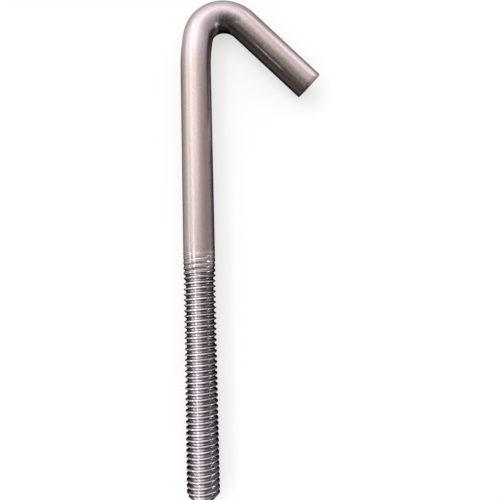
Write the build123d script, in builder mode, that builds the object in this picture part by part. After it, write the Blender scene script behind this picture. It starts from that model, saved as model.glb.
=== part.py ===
"""A J bolt: one steel rod with a right-hand thread cut on one end and a hook bent in the other.

The bolt lies on its side, as it comes to rest, so its hook is flat in the XY plane.
The origin is the centre of the threaded tip, on the rod's own axis. The shank runs along +Y,
the hook opens toward +X, and +Z is up. All lengths are in millimetres and all angles in degrees.
"""

import math
import os

from build123d import *

# The rod, 3/8 inch round bar
rod_diameter = 9.525

# The thread, 3/8-16 UNC
thread_pitch = 25.4 / 16
thread_length = 63.5  # at full depth, from the tip
run_out_length = 6.5  # where the groove fades out into the plain rod
thread_half_angle = 30
crest_allowance = 0.0165  # how far the crests lie under the rod's surface, which is the class 2A fit
tip_chamfer = 2.6  # along the rod and across it, at 45 degrees

# The plain shank between the run-out and the bend, which makes the bolt 152.4 (6 inches) tall
plain_length = 60.1

# The hook, along the middle of the rod
lead_in_radius = 59.0  # the shank starts to lean over gently before the tight bend
lead_in_angle = 10.0
bend_radius = 8.85
hook_angle = 134.0  # from the shank's direction round to the leg's
leg_length = 28.8
end_cut_slant = 5.0  # the cropped end is this much out of square, its upper edge the longer

# Sizes worked out from those above
rod_radius = rod_diameter / 2
sharp_thread_height = thread_pitch / (2 * math.tan(math.radians(thread_half_angle)))
thread_depth = 5 / 8 * sharp_thread_height  # down to the basic minor diameter
crest_radius = rod_radius - crest_allowance
root_radius = crest_radius - thread_depth
flank_width = thread_depth * math.tan(math.radians(thread_half_angle))
plain_start = thread_length + run_out_length
bend_start = plain_start + plain_length

# One pitch of the thread, as (radius, distance along the rod): a flank down from a sharp crest, the
# flat root and a flank up to the next crest. The root is 3/8 of the pitch wide, where the standard
# has 1/4 there and 1/8 on a flat crest, so a standard nut has 0.2 of play along the rod.
thread_profile = [
    (crest_radius, 0),
    (root_radius, flank_width),
    (root_radius, thread_pitch - flank_width),
    (crest_radius, thread_pitch),
]
first_turn = -2  # starts clear of the tip, which the chamfer's cut then trims
last_turn = math.ceil(plain_start / thread_pitch)  # ends inside the plain rod


def thread_turn(turn):
    """The edges that one turn of the profile's corners draws, each a helix round the rod."""
    return [
        Edge.make_helix(
            pitch=thread_pitch,
            height=thread_pitch,
            radius=radius,
            center=(0, turn * thread_pitch + advance, 0),
            normal=(0, 1, 0),
        )
        for radius, advance in thread_profile
    ]


def thread_end(turn):
    """The two faces that close the threaded rod where a turn starts: a step and a spiral ramp."""
    corners = [edge @ 0 for edge in thread_turn(turn)]
    axis_points = [Vector(0, corner.Y, 0) for corner in (corners[0], corners[-1])]
    step = Face(Wire.make_polygon([axis_points[0], *corners, axis_points[1]]))
    ramp = Face.make_surface_from_curves(Edge.make_line(*axis_points), thread_turn(turn)[0])
    return [step, ramp]


def threaded_rod():
    """The threaded length as a solid, from the flanks and root of each turn and its two ends."""
    faces = thread_end(first_turn) + thread_end(last_turn)
    for turn in range(first_turn, last_turn):
        edges = thread_turn(turn)
        faces += [Face.make_surface_from_curves(low, high) for low, high in zip(edges, edges[1:])]
    return Solid(Shell(faces))


with BuildPart() as j_bolt:
    # Plain rod, swept from the end of the run-out to the end of the leg
    with BuildLine(Plane.XY) as centreline:
        shank = Line((0, plain_start), (0, bend_start))
        lead_in = JernArc(shank @ 1, shank % 1, lead_in_radius, -lead_in_angle)
        bend = JernArc(lead_in @ 1, lead_in % 1, bend_radius, lead_in_angle - hook_angle)
        leg = Line(bend @ 1, bend @ 1 + (bend % 1) * (leg_length + rod_radius))
    with BuildSketch(Plane(origin=shank @ 0, x_dir=(1, 0, 0), z_dir=shank % 0)):
        Circle(rod_radius)
    sweep(path=centreline.wires()[0])

    # The leg's cropped end
    leg_end = bend @ 1 + (bend % 1) * leg_length
    slant = math.radians(end_cut_slant)
    off_cut_way = (bend % 1) * math.cos(slant) - Vector(0, 0, 1) * math.sin(slant)
    with BuildSketch(Plane(origin=leg_end, z_dir=off_cut_way)):
        Circle(rod_diameter)
    extrude(amount=rod_diameter, mode=Mode.SUBTRACT)

    # Run-out, a cone that fills the groove up to the rod's surface
    run_out_slope = (rod_radius - root_radius) / run_out_length
    core_radius = root_radius / 2
    with BuildSketch(Plane.XY):
        with BuildLine():
            Polyline(
                (0, thread_length - (root_radius - core_radius) / run_out_slope),
                (core_radius, thread_length - (root_radius - core_radius) / run_out_slope),
                (rod_radius, plain_start),
                (0, plain_start),
                close=True,
            )
        make_face()
    revolve(axis=Axis.Y)
    add(threaded_rod())

    # Tip, faced square and chamfered
    with BuildSketch(Plane.XY):
        with BuildLine():
            Polyline(
                (0, 0),
                (rod_radius - tip_chamfer, 0),
                (rod_diameter, tip_chamfer + rod_radius),
                (rod_diameter, 2 * first_turn * thread_pitch),
                (0, 2 * first_turn * thread_pitch),
                close=True,
            )
        make_face()
    revolve(axis=Axis.Y, mode=Mode.SUBTRACT)

j_bolt.part.label = "j_bolt"

os.makedirs("parts", exist_ok=True)
export_step(j_bolt.part, "parts/j_bolt.step")
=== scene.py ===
"""A plain steel J bolt, dressed as cold-drawn bar with a die-cut thread, on a pale studio floor.

Sizes are written in millimetres and turned to metres where a mesh, lamp or camera is made. The
bolt lies on its side: its shank runs along +Y from the threaded tip at the origin, and its hook
opens toward +X. Two words say where something is on the rod. Its "along" is the length of rod from
the tip. Its "side" is the place across the rod, from 0 along the top to 1 toward the side that the
hook opens to, and to -1 away from it.
"""

import logging
import math
from dataclasses import dataclass, field
from enum import Enum, IntEnum
from itertools import pairwise

import bpy
import numpy as np
from mathutils import Matrix, Vector


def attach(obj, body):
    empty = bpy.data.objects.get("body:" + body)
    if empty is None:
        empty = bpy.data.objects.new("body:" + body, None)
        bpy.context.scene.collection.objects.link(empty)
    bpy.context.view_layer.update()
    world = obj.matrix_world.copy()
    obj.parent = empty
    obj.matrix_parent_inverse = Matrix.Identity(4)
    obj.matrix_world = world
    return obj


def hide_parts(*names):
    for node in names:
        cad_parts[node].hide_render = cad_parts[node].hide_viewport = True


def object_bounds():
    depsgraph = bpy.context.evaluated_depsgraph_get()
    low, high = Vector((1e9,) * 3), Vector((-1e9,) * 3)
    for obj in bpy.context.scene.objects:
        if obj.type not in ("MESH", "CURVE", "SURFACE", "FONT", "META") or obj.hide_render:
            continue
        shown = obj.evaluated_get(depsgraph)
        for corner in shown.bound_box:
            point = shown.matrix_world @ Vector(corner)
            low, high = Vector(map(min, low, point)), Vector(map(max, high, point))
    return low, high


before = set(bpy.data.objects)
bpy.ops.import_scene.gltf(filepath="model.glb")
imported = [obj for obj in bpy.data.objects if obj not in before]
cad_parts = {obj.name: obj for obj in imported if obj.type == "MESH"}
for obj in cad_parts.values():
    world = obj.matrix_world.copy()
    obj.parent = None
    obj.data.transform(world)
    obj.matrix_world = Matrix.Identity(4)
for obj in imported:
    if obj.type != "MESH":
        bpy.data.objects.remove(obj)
CAD_BOX = [list(corner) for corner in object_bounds()]

MM = 0.001
SHANK_WAY = Vector((0.0, 1.0, 0.0))  # from the tip toward the hook
COLOUR_MIX = {"data_type": "RGBA"}  # its colours are then inputs 6 and 7, and output 2
SMOOTH_STEP = {"interpolation_type": "SMOOTHSTEP"}
log = logging.getLogger("j_bolt")


def linear(hex_colour: str) -> tuple[float, float, float, float]:
    """Turns an sRGB hex colour into a linear one.

    Args:
        hex_colour: six hex digits, such as "b5a5a3".

    Returns:
        Red, green, blue and an alpha of 1, in linear light.
    """
    parts = [int(hex_colour[i : i + 2], 16) / 255 for i in (0, 2, 4)]
    red, green, blue = (c / 12.92 if c <= 0.04045 else ((c + 0.055) / 1.055) ** 2.4 for c in parts)
    return red, green, blue, 1.0


def add_node(
    tree: bpy.types.NodeTree, kind: str, settings: dict | None = None, inputs: dict | None = None
) -> bpy.types.Node:
    """Adds one node with its settings, its constant inputs and its links.

    Args:
        tree: the node tree that gets the node.
        kind: the node's type name.
        settings: the node's own properties, by name.
        inputs: a constant or another node's output socket for each input, by name or by place.

    Returns:
        The new node.
    """
    node = tree.nodes.new(kind)
    for name, value in (settings or {}).items():
        setattr(node, name, value)
    for name, value in (inputs or {}).items():
        socket = node.inputs[name]
        if isinstance(value, bpy.types.NodeSocket):
            tree.links.new(value, socket)
        else:
            socket.default_value = value
    return node


def mixed(low: float, high: float, share: float) -> float:
    """Mixes two numbers, from the first at a share of 0 to the second at 1."""
    return low + (high - low) * share


@dataclass(frozen=True)
class Ramp:
    """An S-shaped rise from 0 to 1 over a length after its start, or before it if negative."""

    start: float
    length: float

    def at(self, value: float) -> float:
        """Gives the ramp's height, which stays at 0 before its start and at 1 after its end."""
        share = min(1.0, max(0.0, (value - self.start) / self.length))
        return share * share * (3 - 2 * share)


class Mark(Enum):
    """What the bolt's mesh keeps at each point for its finishes to read."""

    DRAWN = "drawn"  # where the point lay on the straight rod, in metres, before the hook was bent
    GROOVE = "groove"  # how deep it lies in the thread, from 0 at a crest to 1 at a root
    FILM = "film"  # how much painted shade lies on it, from 0 to 1
    RUBBED = "rubbed"  # how much brighter it was made round the bend, partly rubbed skin and partly painted highlight, from 0 to 1
    GLINT_WAY = "glint_way"  # the way across the tool marks, in which they draw a highlight out


class Zone(IntEnum):
    """The bolt's surfaces, in the order of its material slots."""

    DRAWN_BAR = 0
    CUT_THREAD = 1
    FACED_TIP = 2
    CROPPED_END = 3


@dataclass(frozen=True)
class Steel:
    """Bare low-carbon steel, with the marks of how one of the bolt's surfaces was made.

    Sizes of streaks and mottle are in millimetres, and real unless a comment says otherwise. Each
    "from_to" is the span of the noise, or of the groove's depth, over which something comes in.
    """

    name: str
    colour: str
    tint: str  # of its mottle
    edge_colour: str  # what it turns to where it is seen at a slant
    roughness: float
    roughness_range: float
    drawn_out: float  # how far its streaks draw a highlight out across them
    streak_spacing: float
    streak_length: float
    streak_depth: float
    mottle_size: float
    groove_shade_share: float = 0.0  # how much painted shade darkens its grooves
    # painted shade: the colour painted into the thread's grooves
    groove_shade: str = "2a1e34"
    # painted shade: the colour of the dark reflections painted on the hook's side and on the thread
    film: str = "262322"
    # partly rubbed skin and partly painted highlight round the bend, on its face and at its edge
    rubbed_highlight_colour: str = "c1b4b9"
    rubbed_highlight_edge: str = "f4f4f0"
    unshaded_tint: float = 0.35  # how much of the tint shows where no painted shade lies
    painted_shade_tint: float = 1.2  # how much more of it shows under the painted shade
    tint_from_to: tuple[float, float] = (0.44, 0.7)
    groove_shade_from_to: tuple[float, float] = (0.04, 0.3)
    painted_shade_from_to: tuple[float, float] = (0.4, 0.6)
    painted_shade_powers: tuple[float, float] = (0.7, 1.5)  # a patch below 1 has more painted shade, above 1 less
    streak_from_to: tuple[float, float] = (0.3, 0.7)

    def material(self) -> bpy.types.Material:
        """Makes the node material.

        Returns:
            The material, which reads the bolt's own marks.
        """
        made = bpy.data.materials.new(self.name)
        made.use_nodes = True
        tree = made.node_tree
        tree.nodes.clear()
        marks = {
            mark: add_node(tree, "ShaderNodeAttribute", {"attribute_name": mark.value}).outputs
            for mark in Mark
        }
        drawn, glint_way = marks[Mark.DRAWN]["Vector"], marks[Mark.GLINT_WAY]["Vector"]
        # painted shade, and the rubbed skin with its painted highlight round the bend
        film, rubbed = marks[Mark.FILM]["Fac"], marks[Mark.RUBBED]["Fac"]
        mottle = add_node(
            tree,
            "ShaderNodeTexNoise",
            inputs={
                "Vector": drawn,
                "Scale": 1 / (self.mottle_size * MM),
                "Detail": 4.0,
                "Roughness": 0.62,
            },
        ).outputs["Fac"]
        # painted shade in the grooves, from just under the crests down to the roots
        groove_shaded = add_node(
            tree,
            "ShaderNodeMapRange",
            SMOOTH_STEP,
            {
                "Value": marks[Mark.GROOVE]["Fac"],
                "From Min": self.groove_shade_from_to[0],
                "From Max": self.groove_shade_from_to[1],
                "To Max": self.groove_shade_share,
            },
        ).outputs["Result"]
        # Layers over the steel's colour: the mottle's tint, the rubbed skin with its painted
        # highlight, the painted shade in the grooves and the patchy painted shade; at a slant, the
        # rubbed highlight's edge colour and the painted shade.
        face = (
            (self.tint_share(tree, mottle, film), self.tint),
            (rubbed, self.rubbed_highlight_colour),
            (groove_shaded, self.groove_shade),
            (self.patchy_painted_shade(tree, mottle, film), self.film),
        )
        edge = ((rubbed, self.rubbed_highlight_edge), (film, self.film))
        shown = []
        for colour, layers in ((self.colour, face), (self.edge_colour, edge)):
            below = linear(colour)
            for share, layer in layers:
                inputs = {0: share, 6: below, 7: linear(layer)}
                below = add_node(tree, "ShaderNodeMix", COLOUR_MIX, inputs).outputs[2]
            shown.append(below)
        streaks = self.streaks(tree, drawn)
        rough = add_node(
            tree,
            "ShaderNodeMapRange",
            inputs={
                "Value": streaks,
                "From Min": self.streak_from_to[0],
                "From Max": self.streak_from_to[1],
                "To Min": self.roughness - self.roughness_range,
                "To Max": self.roughness + self.roughness_range,
            },
        )
        bump = add_node(
            tree,
            "ShaderNodeBump",
            inputs={"Strength": 1.0, "Distance": self.streak_depth * MM, "Height": streaks},
        )
        shader = add_node(
            tree,
            "ShaderNodeBsdfPrincipled",
            inputs={
                "Base Color": shown[0],
                "Metallic": 1.0,
                "Roughness": rough.outputs["Result"],
                "Anisotropic": self.drawn_out,
                "Tangent": glint_way,
                "Specular Tint": shown[1],
                "Normal": bump.outputs["Normal"],
            },
        )
        add_node(tree, "ShaderNodeOutputMaterial", inputs={"Surface": shader.outputs["BSDF"]})
        return made

    def streaks(
        self, tree: bpy.types.NodeTree, drawn: bpy.types.NodeSocket
    ) -> bpy.types.NodeSocket:
        """Makes the fine lines that the tool left.

        Args:
            tree: the material's nodes.
            drawn: where a point lay on the straight rod.

        Returns:
            The lines' height, as a noise from 0 to 1.
        """
        across, along = 1 / (self.streak_spacing * MM), 1 / (self.streak_length * MM)
        stretched = add_node(
            tree,
            "ShaderNodeVectorMath",
            {"operation": "MULTIPLY"},
            {0: drawn, 1: (across, along, across)},
        )
        return add_node(
            tree,
            "ShaderNodeTexNoise",
            inputs={
                "Vector": stretched.outputs["Vector"],
                "Scale": 1.0,
                "Detail": 3.0,
                "Roughness": 0.6,
            },
        ).outputs["Fac"]

    def tint_share(
        self, tree: bpy.types.NodeTree, mottle: bpy.types.NodeSocket, film: bpy.types.NodeSocket
    ) -> bpy.types.NodeSocket:
        """Finds how much of the mottle's tint shows, which is more where the painted shade lies.

        Args:
            tree: the material's nodes.
            mottle: the mottle's noise.
            film: how much painted shade lies there.

        Returns:
            The tint's share.
        """
        in_mottle = add_node(
            tree,
            "ShaderNodeMapRange",
            SMOOTH_STEP,
            {"Value": mottle, "From Min": self.tint_from_to[0], "From Max": self.tint_from_to[1]},
        )
        in_painted_shade = add_node(
            tree,
            "ShaderNodeMath",
            {"operation": "MULTIPLY_ADD"},
            {0: film, 1: self.painted_shade_tint, 2: self.unshaded_tint},
        )
        return add_node(
            tree,
            "ShaderNodeMath",
            {"operation": "MULTIPLY", "use_clamp": True},
            {0: in_mottle.outputs["Result"], 1: in_painted_shade.outputs["Value"]},
        ).outputs["Value"]

    def patchy_painted_shade(
        self, tree: bpy.types.NodeTree, mottle: bpy.types.NodeSocket, film: bpy.types.NodeSocket
    ) -> bpy.types.NodeSocket:
        """Breaks the painted shade up into patches where it is thin.

        Args:
            tree: the material's nodes.
            mottle: the mottle's noise.
            film: how much painted shade lies there.

        Returns:
            The patchy painted shade's share.
        """
        power = add_node(
            tree,
            "ShaderNodeMapRange",
            inputs={
                "Value": mottle,
                "From Min": self.painted_shade_from_to[0],
                "From Max": self.painted_shade_from_to[1],
                "To Min": self.painted_shade_powers[0],
                "To Max": self.painted_shade_powers[1],
            },
        )
        return add_node(
            tree, "ShaderNodeMath", {"operation": "POWER"}, {0: film, 1: power.outputs["Result"]}
        ).outputs["Value"]


# Bar drawn cold through a die: a satin skin with fine scratches along it, a brown mottle that shows
# most under the painted shade, and a brighter skin round the bend, partly rubbed and partly painted
# highlight.
DRAWN_BAR = Steel(
    name="cold_drawn_steel",
    colour="ac9d9c",
    tint="a08a7c",
    edge_colour="4c6c66",
    roughness=0.29,
    roughness_range=0.06,
    drawn_out=0.5,
    streak_spacing=0.3,  # the real scratches are about 0.05 apart, too fine to show
    streak_length=9.0,
    streak_depth=0.006,
    mottle_size=0.8,
)
# Thread cut by a die: bright crests and roots, with fine marks that run round the rod and draw each
# highlight out along it, and painted shade in the grooves and along the sides.
CUT_THREAD = Steel(
    name="die_cut_steel",
    colour="e4dce0",
    tint="d4cace",
    edge_colour="504a4a",
    roughness=0.26,
    roughness_range=0.06,
    drawn_out=0.8,
    streak_spacing=4.0,
    streak_length=0.3,  # the real tool marks are about 0.05 apart, too fine to show
    streak_depth=0.014,
    mottle_size=1.6,
    groove_shade_share=0.4,
)
# Tip faced and chamfered on a lathe: bright, with fine rings.
FACED_TIP = Steel(
    name="turned_steel",
    colour="c6bcba",
    tint="b8aca8",
    edge_colour="787070",
    roughness=0.28,
    roughness_range=0.06,
    drawn_out=0.5,
    streak_spacing=0.4,
    streak_length=0.15,
    streak_depth=0.004,
    mottle_size=1.2,
)
# End cropped by a shear: a torn, duller face.
CROPPED_END = Steel(
    name="sheared_steel",
    colour="a89c98",
    tint="8c807c",
    edge_colour="787070",
    roughness=0.45,
    roughness_range=0.08,
    drawn_out=0.0,
    streak_spacing=0.5,
    streak_length=0.5,
    streak_depth=0.02,
    mottle_size=0.9,
)


@dataclass(frozen=True)
class RodStock:
    """The 3/8 inch round bar that the bolt is made from."""

    diameter: float = 9.525

    @property
    def radius(self) -> float:
        """The bar's radius in millimetres."""
        return self.diameter / 2


@dataclass(frozen=True)
class CutThread:
    """The right-hand 3/8-16 thread that a die cuts on the straight end."""

    pitch: float = 25.4 / 16
    length: float = 63.5
    half_angle: float = 30.0
    crest_allowance: float = 0.0165  # how far the crests lie under the bar's surface
    crest_rounding: float = 0.08
    root_rounding: float = 0.45
    tip_chamfer: float = 2.6  # along the rod and across it, at 45 degrees
    tip_rounding: float = 0.12
    run_out: float = 8.4  # where the groove fades out into the plain rod
    run_out_lap: float = 0.6  # of plain rod, before the winding ends
    run_out_shallowing: float = 1.2  # how soon the groove gets shallower as it fades out
    run_out_narrowing: float = 11.0  # how much narrower it gets
    crest_wear: float = 0.1  # how much wider the die burnished the crests
    tooth_wear: float = 0.03  # how much a crest's height wanders where the die tore it
    worn_share: float = 0.25  # how far down the flanks that reaches
    tears_per_turn: int = 9
    least_groove: float = 0.02  # the share of the depth up to which nothing counts as cut

    @property
    def end(self) -> float:
        """Where the winding hands over to the plain rod."""
        return self.length + self.run_out + self.run_out_lap

    @property
    def land(self) -> float:
        """The width of the flat on a crest, before its corners are rounded."""
        return self.pitch / 8 + self.crest_wear

    @property
    def depth(self) -> float:
        """The depth of the rounded groove, which is less than a sharp V would have."""
        sharp = (self.pitch - self.land) / (2 * math.tan(math.radians(self.half_angle)))
        return sharp - self.root_rounding * (1 / math.sin(math.radians(self.half_angle)) - 1)

    def profile(self, crest: float) -> list[tuple[float, float]]:
        """Draws one pitch of the thread, with its crest's corners and its root rounded.

        Args:
            crest: the crest's radius.

        Returns:
            Points as (distance along the rod, radius), from one crest's middle toward the next.
        """
        turn = math.pi / 2 - math.radians(self.half_angle)
        corner = self.land / 2 - self.crest_rounding * math.tan(turn / 2)
        half = [(0.0, crest)]
        for angle in (0.0, turn / 2, turn):
            advance = corner + self.crest_rounding * math.sin(angle)
            half.append((advance, crest - self.crest_rounding * (1 - math.cos(angle))))
        middle = self.pitch / 2
        centre = crest - self.depth + self.root_rounding
        root = [
            (
                middle + self.root_rounding * math.sin(angle),
                centre - self.root_rounding * math.cos(angle),
            )
            for angle in (-turn, -turn / 2, 0.0)
        ]
        start, end = half[-1], root[0]
        half.append(((start[0] + end[0]) / 2, (start[1] + end[1]) / 2))
        half += root[:2]
        other_half = [(self.pitch - advance, radius) for advance, radius in reversed(half[1:])]
        return half + [root[2]] + other_half


@dataclass(frozen=True)
class HookBend:
    """The hook: a gentle lean, a tight bend and a straight leg, along the middle of the rod."""

    start: float = 130.1
    lead_in_radius: float = 59.0  # of the gentle lean
    lead_in_angle: float = 10.0
    bend_radius: float = 8.85
    angle: float = 134.0  # in all, from the shank's direction round to the leg's
    leg: float = 28.8
    leg_spare: float = 10.0  # room past the leg's end for its slanted cut
    end_slant: float = 5.0  # degrees out of square, the upper edge the longer
    end_rounding: float = 0.12
    end_corner: float = 0.3  # of that rounding, where its middle ring lies

    @property
    def runs(self) -> list[tuple[float, float]]:
        """The rod's runs from the tip, as (length, radius it turns on or 0 where straight)."""
        return [
            (self.start, 0.0),
            (self.lead_in_radius * math.radians(self.lead_in_angle), self.lead_in_radius),
            (self.bend_radius * math.radians(self.angle - self.lead_in_angle), self.bend_radius),
            (self.leg + self.leg_spare, 0.0),
        ]

    @property
    def bend_length(self) -> float:
        """The length of rod from the start of the lean to the end of the tight bend."""
        return sum(length for length, _ in self.runs[1:3])

    def share(self, along: float) -> float:
        """Says how far round the bend a place is, from 0 at its start to 1 at its end."""
        return (along - self.start) / self.bend_length

    def place(self, along: float) -> tuple[np.ndarray, np.ndarray]:
        """Finds a point of the rod's centreline.

        Args:
            along: the length of rod from the tip.

        Returns:
            The point, and the direction of the rod there.
        """
        point, heading = np.array([0.0, 0.0]), 0.0
        for length, radius in self.runs:
            step = min(along, length)
            along -= step
            if radius:
                before, heading = heading, heading + step / radius
                across = math.cos(before) - math.cos(heading)
                ahead = math.sin(heading) - math.sin(before)
                point = point + radius * np.array([across, ahead])
            else:
                point = point + step * np.array([math.sin(heading), math.cos(heading)])
        return point, np.array([math.sin(heading), math.cos(heading)])


@dataclass(frozen=True)
class HookSidePaintedShade:
    """Painted shade on the bar, most on the hook's side and inside the bend, with a painted
    highlight line through it.

    A start is the side where the painted shade begins, and a share is how much of it there is at
    most.
    """

    blend: float = 0.7  # how far across the rod it takes to reach its share
    shank_start: float = 0.55
    shank_share: float = 0.8
    thread_start: float = 0.1
    leg_start: float = 0.02
    leg_share: float = 0.86
    to_leg: Ramp = Ramp(0.45, 0.3)  # where round the bend the leg's painted shade takes over
    edge_share: float = 0.68  # a band of it along the very side of the shank
    edge_across: Ramp = Ramp(0.58, 0.27)
    edge_off_hook: Ramp = Ramp(15.0, 16.0)  # from this far below the hook
    hollow_round: Ramp = Ramp(0.56, 0.04)  # thickest inside the bend
    hollow_start: float = 0.36
    hollow_narrowing: float = 0.66  # how much further across it starts, round the bend
    hollow_blend: float = 0.06
    # a thin painted highlight along the leg, a line left without painted shade
    highlight_line_side: float = 0.79
    highlight_line_width: float = 0.05
    highlight_line_from_to: tuple[float, float] = (6.5, 20.5)  # along the leg
    highlight_line_fading: float = 3.0  # at each end
    highlight_line_share: float = 0.7

    def share_at(self, along: float, side: float, thread: CutThread, hook: HookBend) -> float:
        """Finds how much painted shade lies at a place.

        Args:
            along: the length of rod from the tip.
            side: the place across the rod.
            thread: the thread, where the painted shade reaches further over the top.
            hook: the hook.

        Returns:
            The painted shade's share, from 0 to 1.
        """
        round_bend = hook.share(along)
        cut = 1 - Ramp(thread.length, thread.run_out).at(along)
        bent = self.to_leg.at(round_bend)
        start = mixed(self.shank_start, self.thread_start, cut)
        start += (self.leg_start - self.shank_start) * bent
        share = mixed(self.shank_share, self.leg_share, bent)
        film = share * Ramp(start, self.blend).at(side)
        off_hook = self.edge_off_hook.at(hook.start - along)
        film = max(film, self.edge_share * off_hook * self.edge_across.at(side))
        across_hollow = Ramp(self.hollow_start, self.hollow_blend)
        in_hollow = across_hollow.at(side - self.hollow_narrowing * round_bend)
        film = max(film, self.hollow_round.at(round_bend) * in_hollow)
        return film * (1 - self.highlight_line_at(along - hook.start - hook.bend_length, side))

    def highlight_line_at(self, on_leg: float, side: float) -> float:
        """Finds how much of the painted shade the painted highlight line leaves off.

        Args:
            on_leg: the length of rod from the leg's start.
            side: the place across the rod.

        Returns:
            The share left off, from 0 to 1.
        """
        start, end = self.highlight_line_from_to
        fading = self.highlight_line_fading
        lengthways = Ramp(start, fading).at(on_leg) * Ramp(end, -fading).at(on_leg)
        across = abs(side - self.highlight_line_side) < self.highlight_line_width / 2
        return self.highlight_line_share * lengthways * across


@dataclass(frozen=True)
class ThreadPaintedShade:
    """Painted shade on the thread, most in its grooves and at its sides, left off in a band near
    the top where the key highlight runs.

    Its shares are how much of it there is at most.
    """

    # the middle of the band kept free of painted shade, where the key lamp's highlight runs
    unshaded_side: float = -0.3
    unshaded_across: Ramp = Ramp(0.15, 0.35)  # from the middle of that band
    groove_share: float = 0.82
    hook_groove_share: float = 0.68  # less, from that band to near the hook's side
    hook_end: Ramp = Ramp(0.6, 0.15)  # where it comes back to the full share
    in_groove: Ramp = Ramp(0.0, 0.2)
    run_out_loss: float = 0.5  # how much less is left at the end of the run-out
    far_share: float = 0.4  # on the crests too, along the side away from the hook
    far_across: Ramp = Ramp(-0.35, -0.5)
    run_out_share: float = 0.56  # in the run-out, where the die barely cut
    run_out_from: float = 0.25  # the share of the run-out's fading by which it is all there

    def share_at(self, along: float, side: float, groove: float, thread: CutThread) -> float:
        """Finds how much painted shade lies on the thread at a place.

        Args:
            along: the length of rod from the tip.
            side: the place across the rod.
            groove: how deep it lies in the thread, from 0 to 1.
            thread: the thread.

        Returns:
            The painted shade's share, from 0 to 1.
        """
        faded = Ramp(thread.length, thread.run_out).at(along)
        most = self.groove_share if side < self.unshaded_side else self.hook_groove_share
        most = mixed(most, self.groove_share, self.hook_end.at(side))
        thread_shade = most * self.unshaded_across.at(abs(side - self.unshaded_side))
        thread_shade *= self.in_groove.at(groove) * (1 - self.run_out_loss * faded)
        far = self.far_share * self.far_across.at(side) * (1 - faded)
        run_out_shade = self.run_out_share * min(1.0, faded / self.run_out_from) * (groove > 0)
        return max(thread_shade, far, run_out_shade)


@dataclass(frozen=True)
class BendRubAndHighlight:
    """The brighter skin round the bend, partly where the bending tool rubbed the rod as it turned
    and partly painted highlight.
    """

    bend_start: Ramp = Ramp(-0.1, 0.4)  # round the bend
    bend_end: Ramp = Ramp(1.15, -0.4)
    inside: Ramp = Ramp(0.95, -0.4)  # across the rod, with none at the inside of the bend
    outer_share: float = 0.6  # how much of it the outside of the bend has
    outer_blend: Ramp = Ramp(-0.4, 0.6)

    def share_at(self, along: float, side: float, hook: HookBend) -> float:
        """Finds how much brighter the rod is made at a place, partly rubbed and partly painted
        highlight.

        Args:
            along: the length of rod from the tip.
            side: the place across the rod.
            hook: the hook.

        Returns:
            The share of rubbed skin and painted highlight, from 0 to 1.
        """
        round_bend = hook.share(along)
        in_bend = self.bend_start.at(round_bend) * self.bend_end.at(round_bend)
        most = mixed(self.outer_share, 1.0, self.outer_blend.at(side))
        return in_bend * self.inside.at(side) * most


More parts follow.
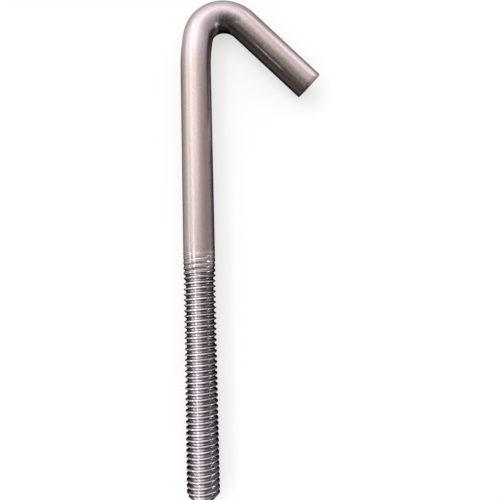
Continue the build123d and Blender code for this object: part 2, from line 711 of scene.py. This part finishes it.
@dataclass
class JBolt:
    """The bolt, as one closed skin over the rod from its tip to its cropped end."""

    stock: RodStock = RodStock()
    thread: CutThread = CutThread()
    hook: HookBend = HookBend()
    # painted shade on the bar and the thread, and rubbed skin with a painted highlight round the
    # bend
    hook_side_shade: HookSidePaintedShade = HookSidePaintedShade()
    thread_shade: ThreadPaintedShade = ThreadPaintedShade()
    rub_and_highlight: BendRubAndHighlight = BendRubAndHighlight()
    seed: int = 7  # of the thread's tears
    sides: int = 112  # round the rod
    tip_shares: tuple[float, ...] = (0.3, 0.65)  # of its radius, for the rings on the tip's face
    cone_end: float = 0.45  # where the chamfer's rings hand over to the thread's winding
    early_turns: int = 2  # of the winding, before the chamfer's last ring
    spare_turns: int = 3  # of the winding, so that it reaches its end all round
    run_rings: tuple[int, ...] = (39, 14, 62, 17)  # on the shank, the lean, the bend and the leg
    end_clear: float = 1.0  # from the last of them to the cropped end
    end_shares: tuple[float, ...] = (0.66, 0.33)  # of its radius, for the rings on the end
    points: list[tuple[float, ...]] = field(default_factory=list)
    marks: dict[Mark, list] = field(default_factory=lambda: {mark: [] for mark in Mark})
    faces: list[list[int]] = field(default_factory=list)
    zones: list[int] = field(default_factory=list)

    @property
    def face_radius(self) -> float:
        """The radius of the flat on the tip, inside its chamfer."""
        return self.stock.radius - self.thread.tip_chamfer

    def add_point(
        self, along: float, radius: float, turn: float, groove: float | None = None
    ) -> int:
        """Adds a point of the skin, and its marks.

        Args:
            along: the length of rod from the tip.
            radius: its distance from the rod's centreline.
            turn: its angle round the rod, from the top toward the hook's side.
            groove: how deep it lies in the thread, from 0 to 1, or None where no thread is cut.

        Returns:
            The point's number.
        """
        centre, tangent = self.hook.place(along)
        across = np.array([tangent[1], -tangent[0]])
        side = math.sin(turn)
        out, up = radius * side, radius * math.cos(turn)
        spot = centre + out * across
        # painted shade on the bar, and on the thread where one is cut
        film = self.hook_side_shade.share_at(along, side, self.thread, self.hook)
        if groove is None:
            glint_way = (across[0] * math.cos(turn), across[1] * math.cos(turn), -side)
        else:
            film = max(film, self.thread_shade.share_at(along, side, groove, self.thread))
            glint_way = (tangent[0], tangent[1], 0.0)
        self.points.append((spot[0] * MM, spot[1] * MM, up * MM))
        marks = {
            Mark.DRAWN: (out * MM, along * MM, up * MM),
            Mark.GROOVE: groove or 0.0,
            Mark.FILM: film,
            # rubbed skin and painted highlight round the bend
            Mark.RUBBED: self.rub_and_highlight.share_at(along, side, self.hook),
            Mark.GLINT_WAY: glint_way,
        }
        for mark, value in marks.items():
            self.marks[mark].append(value)
        return len(self.points) - 1

    def add_ring(self, along: float | list[float], radius: float) -> list[int]:
        """Adds a ring of points round the rod.

        Args:
            along: the ring's place along the rod, or one place for each of its points.
            radius: its radius.

        Returns:
            The points' numbers.
        """
        places = along if isinstance(along, list) else [along] * self.sides
        return [
            self.add_point(place, radius, 2 * math.pi * i / self.sides)
            for i, place in enumerate(places)
        ]

    def add_face(self, corners: list[int], zone: Zone) -> None:
        """Adds a face, unless it has closed up to a line.

        Args:
            corners: its points' numbers.
            zone: the surface that it belongs to.
        """
        kept = [c for i, c in enumerate(corners) if c != corners[i - 1]]
        if len(set(kept)) == len(kept) > 2:
            self.faces.append(kept)
            self.zones.append(int(zone))

    def join_rings(self, first: list[int], second: list[int], zone: Zone) -> None:
        """Covers the band between two rings.

        Args:
            first: the ring nearer the tip.
            second: the next ring.
            zone: the surface that the band belongs to.
        """
        for i in range(self.sides):
            j = (i + 1) % self.sides
            self.add_face([first[i], second[i], second[j], first[j]], zone)

    def close_ring(self, ring: list[int], along: float, faces_tip: bool, zone: Zone) -> None:
        """Closes a ring with a fan of faces to its centre.

        Args:
            ring: the ring's points.
            along: the centre's place along the rod.
            faces_tip: whether the fan looks back along the rod.
            zone: the surface that it belongs to.
        """
        middle = self.add_point(along, 0.0, 0.0)
        for i in range(self.sides):
            j = (i + 1) % self.sides
            outer = [ring[i], ring[j]] if faces_tip else [ring[j], ring[i]]
            self.add_face([middle, *outer], zone)

    def tip(self) -> list[int]:
        """Builds the faced tip and the start of its chamfer.

        Returns:
            The last ring, from which the thread starts.
        """
        rounding = self.thread.tip_rounding
        rings = [self.add_ring(0.0, self.face_radius * share) for share in self.tip_shares]
        for share in (0.0, 1 / 3, 2 / 3):  # of the rounding, from the flat to the chamfer
            back = rounding * (1 - share)
            radius = self.face_radius - back * back / rounding
            rings.append(self.add_ring(rounding * share * share, radius))
        for along in (rounding, self.cone_end):
            rings.append(self.add_ring(along, self.face_radius + along))
        self.close_ring(rings[0], 0.0, True, Zone.FACED_TIP)
        for first, second in pairwise(rings):
            self.join_rings(first, second, Zone.FACED_TIP)
        return rings[-1]

    def wound_thread(self, start_ring: list[int]) -> list[int]:
        """Winds the thread's profile round the rod, from the chamfer to the end of the run-out.

        Args:
            start_ring: the chamfer's last ring.

        Returns:
            The first ring of the plain rod.
        """
        thread, sides = self.thread, self.sides
        crest = self.stock.radius - thread.crest_allowance
        profile = thread.profile(crest)
        end_ring = self.add_ring(thread.end, self.stock.radius)
        turns = math.ceil((thread.end - self.cone_end) / thread.pitch) + self.spare_turns
        first = self.cone_end - self.early_turns * thread.pitch
        tear_count = turns * thread.tears_per_turn + 2  # the winding's last step reads two of them
        tears = np.random.default_rng(self.seed).normal(0.0, 1.0, tear_count)
        numbers = np.empty((turns * sides + 1, len(profile)), dtype=int)
        for a in range(turns * sides + 1):
            lot = a * thread.tears_per_turn / sides
            low = int(lot)
            torn = (1 - lot + low) * tears[low] + (lot - low) * tears[low + 1]
            for j, (advance, radius) in enumerate(profile):
                along = first + thread.pitch * a / sides + advance
                if along <= self.cone_end:
                    numbers[a, j] = start_ring[a % sides]
                elif along >= thread.end:
                    numbers[a, j] = end_ring[a % sides]
                else:
                    share = (crest - radius) / thread.depth
                    skin, groove = self.cut_skin(along, share, crest, torn)
                    numbers[a, j] = self.add_point(along, skin, 2 * math.pi * a / sides, groove)
        self.cover_winding(numbers)
        return end_ring

    def cut_skin(
        self, along: float, share: float, crest: float, torn: float
    ) -> tuple[float, float]:
        """Finds the skin's radius where the die cut, with the chamfer, run-out and worn crests.

        Args:
            along: the length of rod from the tip.
            share: how deep the profile is there, from 0 to 1.
            crest: the crests' radius.
            torn: how much the die tore the crest there, 1 being usual.

        Returns:
            The radius, and how deep the point lies in the thread, from 0 to 1.
        """
        thread = self.thread
        faded = min(1.0, max(0.0, (along - thread.length) / thread.run_out))
        narrowed = share ** (1 + thread.run_out_narrowing * faded)
        cut = thread.depth * (1 - faded) ** thread.run_out_shallowing * narrowed
        on_crest = max(0.0, 1 - share / thread.worn_share)
        wear = thread.tooth_wear * abs(torn) * (1 - faded) * on_crest
        bar = crest + thread.crest_allowance * Ramp(0.0, 1.0).at(faded)
        skin = min(bar - cut - wear, self.face_radius + along)
        return skin, max(0.0, cut / thread.depth - thread.least_groove)

    def cover_winding(self, numbers: np.ndarray) -> None:
        """Covers the wound profile with faces, which count as plain bar once nothing is cut.

        Args:
            numbers: the points' numbers, by step round the rod and by place in the profile.
        """
        steps, places = numbers.shape
        for a in range(steps - 1):
            for j in range(places):
                b, k = (a, j + 1) if j + 1 < places else (a + self.sides, 0)
                if b + 1 >= steps:
                    continue
                corners = [
                    int(c)
                    for c in (numbers[a, j], numbers[b, k], numbers[b + 1, k], numbers[a + 1, j])
                ]
                uncut = max(self.marks[Mark.GROOVE][c] for c in corners) == 0.0
                nearest = min(self.marks[Mark.DRAWN][c][1] for c in corners)
                plain = uncut and nearest > self.thread.length * MM
                zone = Zone.DRAWN_BAR if plain else Zone.CUT_THREAD
                self.add_face(corners, zone)

    def rod_and_hook(self, start_ring: list[int]) -> None:
        """Builds the plain rod, its hook and its cropped end.

        Args:
            start_ring: the ring where the thread ends.
        """
        hook, radius = self.hook, self.stock.radius
        (shank, _), (lead_in, _), (bend, _), _ = hook.runs
        bend_end = shank + lead_in + bend
        leg_end = bend_end + hook.leg
        stops = (self.thread.end, shank, shank + lead_in, bend_end, leg_end - self.end_clear)
        ring = start_ring
        for (low, high), count in zip(pairwise(stops), self.run_rings):
            for place in np.linspace(low, high, count + 1)[1:]:
                following = self.add_ring(float(place), radius)
                self.join_rings(ring, following, Zone.DRAWN_BAR)
                ring = following
        slant = math.tan(math.radians(hook.end_slant))
        rounding = hook.end_rounding
        end_rings = [
            (radius, rounding),
            (radius - hook.end_corner * rounding, hook.end_corner * rounding),
            (radius - rounding, 0.0),
            *((radius * share, 0.0) for share in self.end_shares),
        ]
        zone = Zone.DRAWN_BAR
        for ring_radius, back in end_rings:
            cut = [
                leg_end - back + slant * ring_radius * math.cos(2 * math.pi * k / self.sides)
                for k in range(self.sides)
            ]
            following = self.add_ring(cut, ring_radius)
            self.join_rings(ring, following, zone)
            ring, zone = following, Zone.CROPPED_END
        self.close_ring(ring, leg_end, False, zone)

    def build(self) -> bpy.types.Object:
        """Builds the bolt's skin.

        Returns:
            The bolt, at rest in the shared frame.
        """
        self.rod_and_hook(self.wound_thread(self.tip()))
        mesh = bpy.data.meshes.new("bolt")
        mesh.from_pydata(self.points, [], self.faces)
        mesh.polygons.foreach_set("material_index", self.zones)
        mesh.shade_smooth()
        for mark, values in self.marks.items():
            is_vector = mark in (Mark.DRAWN, Mark.GLINT_WAY)
            kind, key = ("FLOAT_VECTOR", "vector") if is_vector else ("FLOAT", "value")
            attribute = mesh.attributes.new(mark.value, kind, "POINT")
            attribute.data.foreach_set(key, np.ravel(values))
        mesh.validate()
        bolt = bpy.data.objects.new("bolt", mesh)
        bpy.context.scene.collection.objects.link(bolt)
        return bolt

    def dress(self, bolt: bpy.types.Object) -> None:
        """Gives each of the bolt's surfaces its finish.

        Args:
            bolt: the bolt.
        """
        for finish in (DRAWN_BAR, CUT_THREAD, FACED_TIP, CROPPED_END):
            bolt.data.materials.append(finish.material())

    def place(self, bolt: bpy.types.Object) -> None:
        """Ties the bolt to the CAD body and node that it stands for.

        Args:
            bolt: the bolt.
        """
        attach(bolt, "root")
        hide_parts("j_bolt")


def direction(bearing: float, height: float) -> Vector:
    """Points from the bolt into the studio.

    Args:
        bearing: degrees clockwise from the hook's end of the shank, seen from above.
        height: degrees above the floor.

    Returns:
        A direction of length 1.
    """
    turn, rise = math.radians(bearing), math.radians(height)
    level = math.cos(rise)
    return Vector((math.sin(turn) * level, math.cos(turn) * level, math.sin(rise)))


@dataclass(frozen=True)
class Softbox:
    """A rectangular studio lamp, aimed at the bolt."""

    name: str
    bearing: float  # degrees clockwise from the hook's end of the shank, seen from above
    height: float  # degrees above the floor
    width: float
    length: float
    brightness: float  # 1 shows as white
    colour: str = "ffffff"
    distance: float = 700.0

    def build(self, target: Vector) -> bpy.types.Object:
        """Hangs the lamp.

        Args:
            target: the point that it is aimed at, in metres.

        Returns:
            The lamp.
        """
        lamp = bpy.data.lights.new(self.name, "AREA")
        lamp.shape = "RECTANGLE"
        lamp.size, lamp.size_y = self.width * MM, self.length * MM
        lamp.energy = self.brightness * math.pi * lamp.size * lamp.size_y
        lamp.color = linear(self.colour)[:3]
        holder = bpy.data.objects.new(self.name, lamp)
        bpy.context.scene.collection.objects.link(holder)
        toward = direction(self.bearing, self.height)
        side = SHANK_WAY.cross(toward).normalized()
        turn = Matrix((side, toward.cross(side), toward)).transposed().to_4x4()
        holder.matrix_world = Matrix.Translation(target + toward * self.distance * MM) @ turn
        return holder


@dataclass(frozen=True)
class Studio:
    """The pale floor, the soft light and the camera."""

    floor_colour: str = "f8f8f8"
    floor_size: float = 12000.0
    floor_whiteness: float = 0.6  # how much of what is seen of it is plain white, without shadow
    glow_colour: str = "ffffff"
    glow_level: float = 1.35
    glow_bearing: float = -34.0
    glow_height: float = 43.0
    glow_falloff: float = 2.5
    shade_colour: str = "f2eae8"
    shade_level: float = 0.58
    camera_at: tuple[float, float, float] = (-1.3, 57.31, 134.53)
    camera_aim: tuple[float, float, float] = (15.49, 71.9, 0.0)
    camera_roll: float = 1.757  # degrees
    camera_clip: float = 5.0
    lens: float = 32.04
    lamps: tuple[Softbox, ...] = (
        Softbox("key_lamp", -90, 50, width=120, length=1700, brightness=2.3),
        Softbox("side_lamp", -90, 17, width=150, length=1300, brightness=1.7, colour="e4fff8"),
        Softbox("low_lamp", 88, 16, width=50, length=500, brightness=0.08),
        Softbox("tip_lamp", 124, 9, width=230, length=210, brightness=7.5, colour="f4f4ff"),
        Softbox("head_lamp", 34, 24, width=460, length=240, brightness=2.2, colour="e2eeff"),
        Softbox("bend_lamp", -16, 58, width=260, length=420, brightness=0.6),
    )

    def build_floor(self, level: float) -> bpy.types.Object:
        """Lays the floor.

        Args:
            level: its height in metres.

        Returns:
            The floor.
        """
        reach = self.floor_size / 2 * MM
        mesh = bpy.data.meshes.new("floor")
        ways = ((-1, -1), (1, -1), (1, 1), (-1, 1))
        corners = [(x * reach, y * reach, level) for x, y in ways]
        mesh.from_pydata(corners, [], [(0, 1, 2, 3)])
        floor = bpy.data.objects.new("floor", mesh)
        bpy.context.scene.collection.objects.link(floor)
        floor.data.materials.append(self.paper())
        return floor

    def paper(self) -> bpy.types.Material:
        """Makes the floor's matt paper, which looks whiter than it is and still shows a shadow.

        Returns:
            The material.
        """
        paper = bpy.data.materials.new("matt_white_paper")
        paper.use_nodes = True
        tree = paper.node_tree
        tree.nodes.clear()
        matt = add_node(
            tree,
            "ShaderNodeBsdfDiffuse",
            inputs={"Color": linear(self.floor_colour), "Roughness": 1.0},
        )
        white = add_node(
            tree, "ShaderNodeEmission", inputs={"Color": linear("ffffff"), "Strength": 1.0}
        )
        rays = add_node(tree, "ShaderNodeLightPath").outputs
        seen = rays["Is Camera Ray"]
        for kind in ("Is Glossy Ray", "Is Transmission Ray"):
            either = add_node(
                tree, "ShaderNodeMath", {"operation": "MAXIMUM"}, {0: seen, 1: rays[kind]}
            )
            seen = either.outputs["Value"]
        share = add_node(
            tree, "ShaderNodeMath", {"operation": "MULTIPLY"}, {0: seen, 1: self.floor_whiteness}
        )
        shown = add_node(
            tree,
            "ShaderNodeMixShader",
            inputs={
                0: share.outputs["Value"],
                1: matt.outputs["BSDF"],
                2: white.outputs["Emission"],
            },
        )
        add_node(tree, "ShaderNodeOutputMaterial", inputs={"Surface": shown.outputs["Shader"]})
        return paper

    def build_surroundings(self) -> None:
        """Fills the studio with soft light that grows toward the upper left of the hook."""
        world = bpy.data.worlds.new("studio")
        bpy.context.scene.world = world
        world.use_nodes = True
        tree = world.node_tree
        tree.nodes.clear()
        way = add_node(tree, "ShaderNodeTexCoord")
        facing = add_node(
            tree,
            "ShaderNodeVectorMath",
            {"operation": "DOT_PRODUCT"},
            {0: way.outputs["Generated"], 1: direction(self.glow_bearing, self.glow_height)},
        )
        ahead = add_node(
            tree, "ShaderNodeMath", {"operation": "MAXIMUM"}, {0: facing.outputs["Value"], 1: 0.0}
        )
        share = add_node(
            tree,
            "ShaderNodeMath",
            {"operation": "POWER"},
            {0: ahead.outputs["Value"], 1: self.glow_falloff},
        )
        shade, glow = (
            [part * level for part in linear(colour)[:3]] + [1.0]
            for colour, level in (
                (self.shade_colour, self.shade_level),
                (self.glow_colour, self.glow_level + self.shade_level),
            )
        )
        blend = add_node(
            tree, "ShaderNodeMix", COLOUR_MIX, {0: share.outputs["Value"], 6: shade, 7: glow}
        )
        light = add_node(
            tree, "ShaderNodeBackground", inputs={"Color": blend.outputs[2], "Strength": 1.0}
        )
        add_node(tree, "ShaderNodeOutputWorld", inputs={"Surface": light.outputs["Background"]})

    def build_camera(self) -> bpy.types.Object:
        """Stands the camera over the bolt.

        Returns:
            The camera.
        """
        data = bpy.data.cameras.new("camera")
        data.lens = self.lens
        data.clip_start = self.camera_clip * MM
        camera = bpy.data.objects.new("camera", data)
        bpy.context.scene.collection.objects.link(camera)
        at = Vector(self.camera_at) * MM
        ahead = (Vector(self.camera_aim) * MM - at).normalized()
        level = ahead.cross(SHANK_WAY).normalized()
        head = level.cross(ahead)
        roll = math.radians(self.camera_roll)
        right = level * math.cos(roll) - head * math.sin(roll)
        up = head * math.cos(roll) + level * math.sin(roll)
        turn = Matrix((right, up, -ahead)).transposed().to_4x4()
        camera.matrix_world = Matrix.Translation(at) @ turn
        bpy.context.scene.camera = camera
        return camera

    def build(self) -> None:
        """Builds the floor, the surroundings, the lamps and the camera."""
        low, high = (Vector(corner) for corner in CAD_BOX)
        self.build_floor(low.z)
        self.build_surroundings()
        for lamp in self.lamps:
            lamp.build((low + high) / 2)
        self.build_camera()
        bpy.context.scene.view_settings.view_transform = "Standard"


def main() -> None:
    """Builds the bolt and its studio."""
    logging.basicConfig(level=logging.INFO, format="%(name)s: %(message)s")
    j_bolt = JBolt()
    bolt = j_bolt.build()
    j_bolt.dress(bolt)
    j_bolt.place(bolt)
    log.info("%s: %d faces", bolt.name, len(bolt.data.polygons))
    studio = Studio()
    studio.build()
    log.info("studio: %d lamps", len(studio.lamps))


if __name__ == "__main__":
    main()
